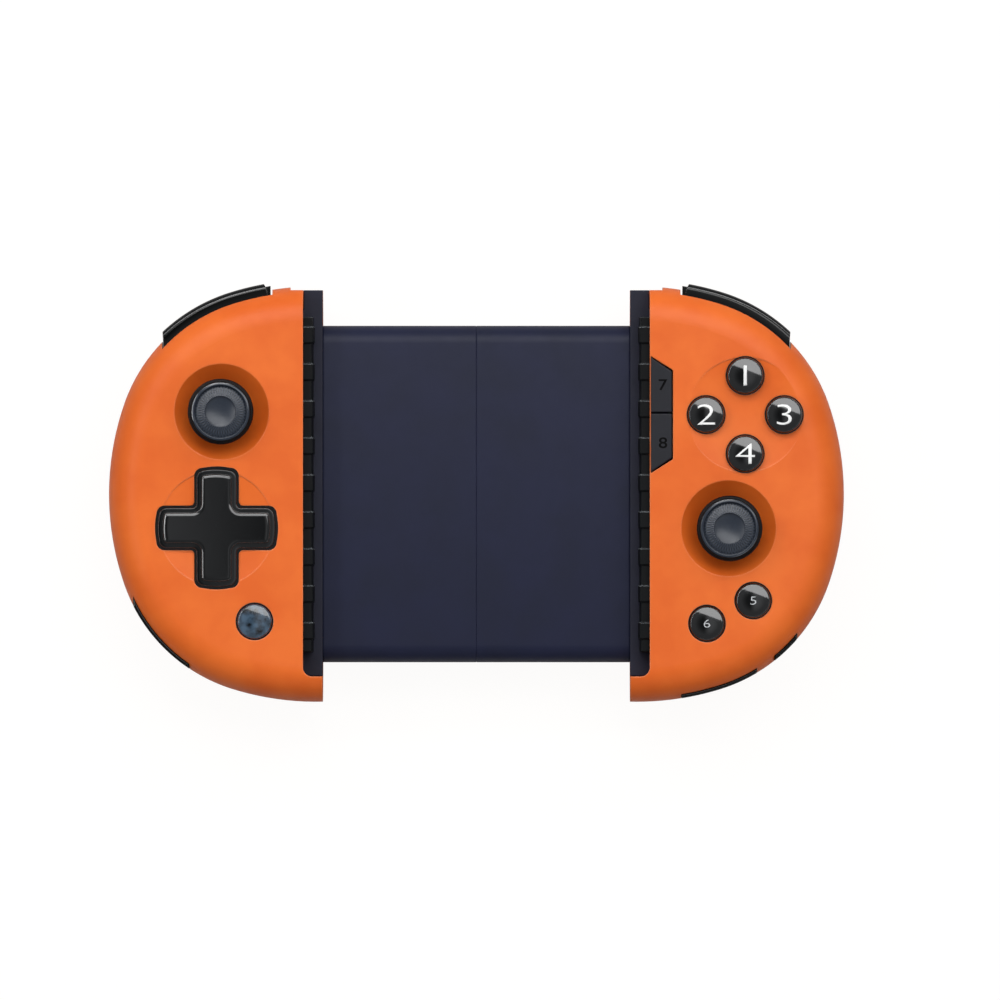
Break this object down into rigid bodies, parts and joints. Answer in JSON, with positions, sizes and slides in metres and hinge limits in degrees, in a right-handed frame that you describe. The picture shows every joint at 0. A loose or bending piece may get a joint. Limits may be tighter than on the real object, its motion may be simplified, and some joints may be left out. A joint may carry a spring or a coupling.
{
  "type": "telescopic phone gamepad",
  "caption": "Telescopic game controller that stretches to clamp a phone between two orange grips with sticks, directional pad, buttons and levers.",
  "frame": {"origin": "centre of the closed gamepad's box on the surface that it lies on; X = 0 is the seam between the two cradle halves", "axes": "+X towards the right grip along the stretch, +Y towards the bumpers, +Z out of the face with the sticks and buttons"},
  "size_m": [0.1734, 0.0985, 0.0353],
  "materials": {
    "shell_orange": "satin moulded ABS shell",
    "clamp_navy": "fine-textured moulded ABS",
    "cradle_navy": "matt moulded ABS plate",
    "pad_rubber": "soft silicone rubber blocks",
    "gloss_black": "high-gloss ABS keys and inserts",
    "stick_rubber": "moulded rubber over plastic",
    "side_key_grey": "matt moulded ABS keys",
    "acetal_white": "natural acetal mechanism parts",
    "steel": "plated steel",
    "board_green": "solder mask on glass-epoxy laminate",
    "silicone_grey": "silicone membrane",
    "cell_foil": "aluminium laminate pouch",
    "ribbon_film": "polyimide film"
  },
  "bodies": {
    "carrier": {"carrier_tray": "cradle_navy", "carrier_cover": "cradle_navy", "return_springs": "steel", "ribbon_cable": "ribbon_film"},
    "left_grip": {"left_front_shell": "shell_orange", "left_back_shell": "shell_orange", "left_phone_clamp": "clamp_navy", "left_grip_pad": "pad_rubber", "left_hinge_pin": "steel", "left_lever_spring": "steel", "left_stick_housing": "acetal_white", "left_button_mat": "silicone_grey", "left_circuit_board": "board_green", "left_screws": "steel", "left_cradle_plate": "cradle_navy", "left_cradle_back": "cradle_navy", "left_rack": "acetal_white", "left_side_insert": "gloss_black", "battery": "cell_foil"},
    "right_grip": {"right_front_shell": "shell_orange", "right_back_shell": "shell_orange", "right_phone_clamp": "clamp_navy", "right_grip_pad": "pad_rubber", "right_hinge_pin": "steel", "right_lever_spring": "steel", "right_stick_housing": "acetal_white", "right_button_mat": "silicone_grey", "right_circuit_board": "board_green", "right_screws": "steel", "right_cradle_plate": "cradle_navy", "right_cradle_back": "cradle_navy", "right_rack": "acetal_white", "right_side_insert": "gloss_black", "right_port_insert": "gloss_black", "usb_socket": "steel"},
    "pinion": {"pinion": "acetal_white"},
    "left_stick_ring": {"left_stick_ring": "acetal_white"},
    "left_stick_block": {"left_stick_block": "acetal_white"},
    "left_stick_top": {"left_stick_shaft": "steel", "left_stick_cap": "stick_rubber"},
    "left_bumper": {"left_bumper": "gloss_black"},
    "left_trigger": {"left_trigger": "gloss_black"},
    "right_stick_ring": {"right_stick_ring": "acetal_white"},
    "right_stick_block": {"right_stick_block": "acetal_white"},
    "right_stick_top": {"right_stick_shaft": "steel", "right_stick_cap": "stick_rubber"},
    "right_bumper": {"right_bumper": "gloss_black"},
    "right_trigger": {"right_trigger": "gloss_black"},
    "dpad_rocker": {"dpad_rocker": "acetal_white"},
    "dpad": {"dpad": "gloss_black"},
    "home_button": {"home_button": "gloss_black"},
    "button_north": {"button_north": "gloss_black"},
    "button_east": {"button_east": "gloss_black"},
    "button_south": {"button_south": "gloss_black"},
    "button_west": {"button_west": "gloss_black"},
    "start_button": {"start_button": "gloss_black"},
    "select_button": {"select_button": "gloss_black"},
    "upper_side_button": {"upper_side_button": "side_key_grey"},
    "lower_side_button": {"lower_side_button": "side_key_grey"}
  },
  "joints": [
    {"name": "left_slide", "type": "slide", "parent": "carrier", "child": "left_grip", "axis": [-1, 0, 0], "range_m": [0, 0.046], "stiffness_N_per_m": 60, "springref_m": -0.02, "deforming": ["return_springs", "ribbon_cable"]},
    {"name": "right_slide", "type": "slide", "parent": "carrier", "child": "right_grip", "axis": [1, 0, 0], "range_m": [0, 0.046], "stiffness_N_per_m": 60, "springref_m": -0.02, "deforming": ["return_springs", "ribbon_cable"]},
    {"name": "pinion_spin", "type": "hinge", "parent": "carrier", "child": "pinion", "pos_m": [0, 0, 0.0156], "axis": [0, 0, 1], "range_deg": [0, 440]},
    {"name": "left_stick_tilt_x", "type": "hinge", "parent": "left_grip", "child": "left_stick_ring", "pos_m": [-0.0602, 0.0194, 0.0228], "axis": [1, 0, 0], "range_deg": [-14, 14], "stiffness_Nm_per_rad": 0.02},
    {"name": "left_stick_tilt_y", "type": "hinge", "parent": "left_stick_ring", "child": "left_stick_block", "pos_m": [-0.0602, 0.0194, 0.0228], "axis": [0, 1, 0], "range_deg": [-14, 14], "stiffness_Nm_per_rad": 0.02},
    {"name": "left_stick_click", "type": "slide", "parent": "left_stick_block", "child": "left_stick_top", "axis": [0, 0, -1], "range_m": [0, 0.0005], "stiffness_N_per_m": 800},
    {"name": "left_bumper_press", "type": "hinge", "parent": "left_grip", "child": "left_bumper", "pos_m": [-0.047, 0.044, 0.0186], "axis": [0, 0, 1], "range_deg": [0, 3], "stiffness_Nm_per_rad": 0.3},
    {"name": "left_trigger_pull", "type": "hinge", "parent": "left_grip", "child": "left_trigger", "pos_m": [-0.047, 0.044, 0.0108], "axis": [0, 0, 1], "range_deg": [0, 5], "stiffness_Nm_per_rad": 0.3},
    {"name": "right_stick_tilt_x", "type": "hinge", "parent": "right_grip", "child": "right_stick_ring", "pos_m": [0.0596, -0.0081, 0.0228], "axis": [1, 0, 0], "range_deg": [-14, 14], "stiffness_Nm_per_rad": 0.02},
    {"name": "right_stick_tilt_y", "type": "hinge", "parent": "right_stick_ring", "child": "right_stick_block", "pos_m": [0.0596, -0.0081, 0.0228], "axis": [0, 1, 0], "range_deg": [-14, 14], "stiffness_Nm_per_rad": 0.02},
    {"name": "right_stick_click", "type": "slide", "parent": "right_stick_block", "child": "right_stick_top", "axis": [0, 0, -1], "range_m": [0, 0.0005], "stiffness_N_per_m": 800},
    {"name": "right_bumper_press", "type": "hinge", "parent": "right_grip", "child": "right_bumper", "pos_m": [0.047, 0.044, 0.0186], "axis": [0, 0, -1], "range_deg": [0, 3], "stiffness_Nm_per_rad": 0.3},
    {"name": "right_trigger_pull", "type": "hinge", "parent": "right_grip", "child": "right_trigger", "pos_m": [0.047, 0.044, 0.0108], "axis": [0, 0, -1], "range_deg": [0, 5], "stiffness_Nm_per_rad": 0.3},
    {"name": "dpad_tilt_x", "type": "hinge", "parent": "left_grip", "child": "dpad_rocker", "pos_m": [-0.0612, -0.008, 0.0254], "axis": [1, 0, 0], "range_deg": [-5, 5], "stiffness_Nm_per_rad": 0.2},
    {"name": "dpad_tilt_y", "type": "hinge", "parent": "dpad_rocker", "child": "dpad", "pos_m": [-0.0612, -0.008, 0.0254], "axis": [0, 1, 0], "range_deg": [-5, 5], "stiffness_Nm_per_rad": 0.2},
    {"name": "home_button_press", "type": "slide", "parent": "left_grip", "child": "home_button", "axis": [0, 0, -1], "range_m": [0, 0.0012], "stiffness_N_per_m": 400},
    {"name": "button_north_press", "type": "slide", "parent": "right_grip", "child": "button_north", "axis": [0, 0, -1], "range_m": [0, 0.0012], "stiffness_N_per_m": 400},
    {"name": "button_east_press", "type": "slide", "parent": "right_grip", "child": "button_east", "axis": [0, 0, -1], "range_m": [0, 0.0012], "stiffness_N_per_m": 400},
    {"name": "button_south_press", "type": "slide", "parent": "right_grip", "child": "button_south", "axis": [0, 0, -1], "range_m": [0, 0.0012], "stiffness_N_per_m": 400},
    {"name": "button_west_press", "type": "slide", "parent": "right_grip", "child": "button_west", "axis": [0, 0, -1], "range_m": [0, 0.0012], "stiffness_N_per_m": 400},
    {"name": "start_button_press", "type": "slide", "parent": "right_grip", "child": "start_button", "axis": [0, 0, -1], "range_m": [0, 0.0012], "stiffness_N_per_m": 400},
    {"name": "select_button_press", "type": "slide", "parent": "right_grip", "child": "select_button", "axis": [0, 0, -1], "range_m": [0, 0.0012], "stiffness_N_per_m": 400},
    {"name": "upper_side_button_press", "type": "slide", "parent": "right_grip", "child": "upper_side_button", "axis": [0, 0, -1], "range_m": [0, 0.0008], "stiffness_N_per_m": 400},
    {"name": "lower_side_button_press", "type": "slide", "parent": "right_grip", "child": "lower_side_button", "axis": [0, 0, -1], "range_m": [0, 0.0008], "stiffness_N_per_m": 400}
  ],
  "couplings": [
    {"joint": "right_slide", "follows": "left_slide", "ratio": 1},
    {"joint": "pinion_spin", "follows": "left_slide", "rad_per_m": 166.67}
  ]
}
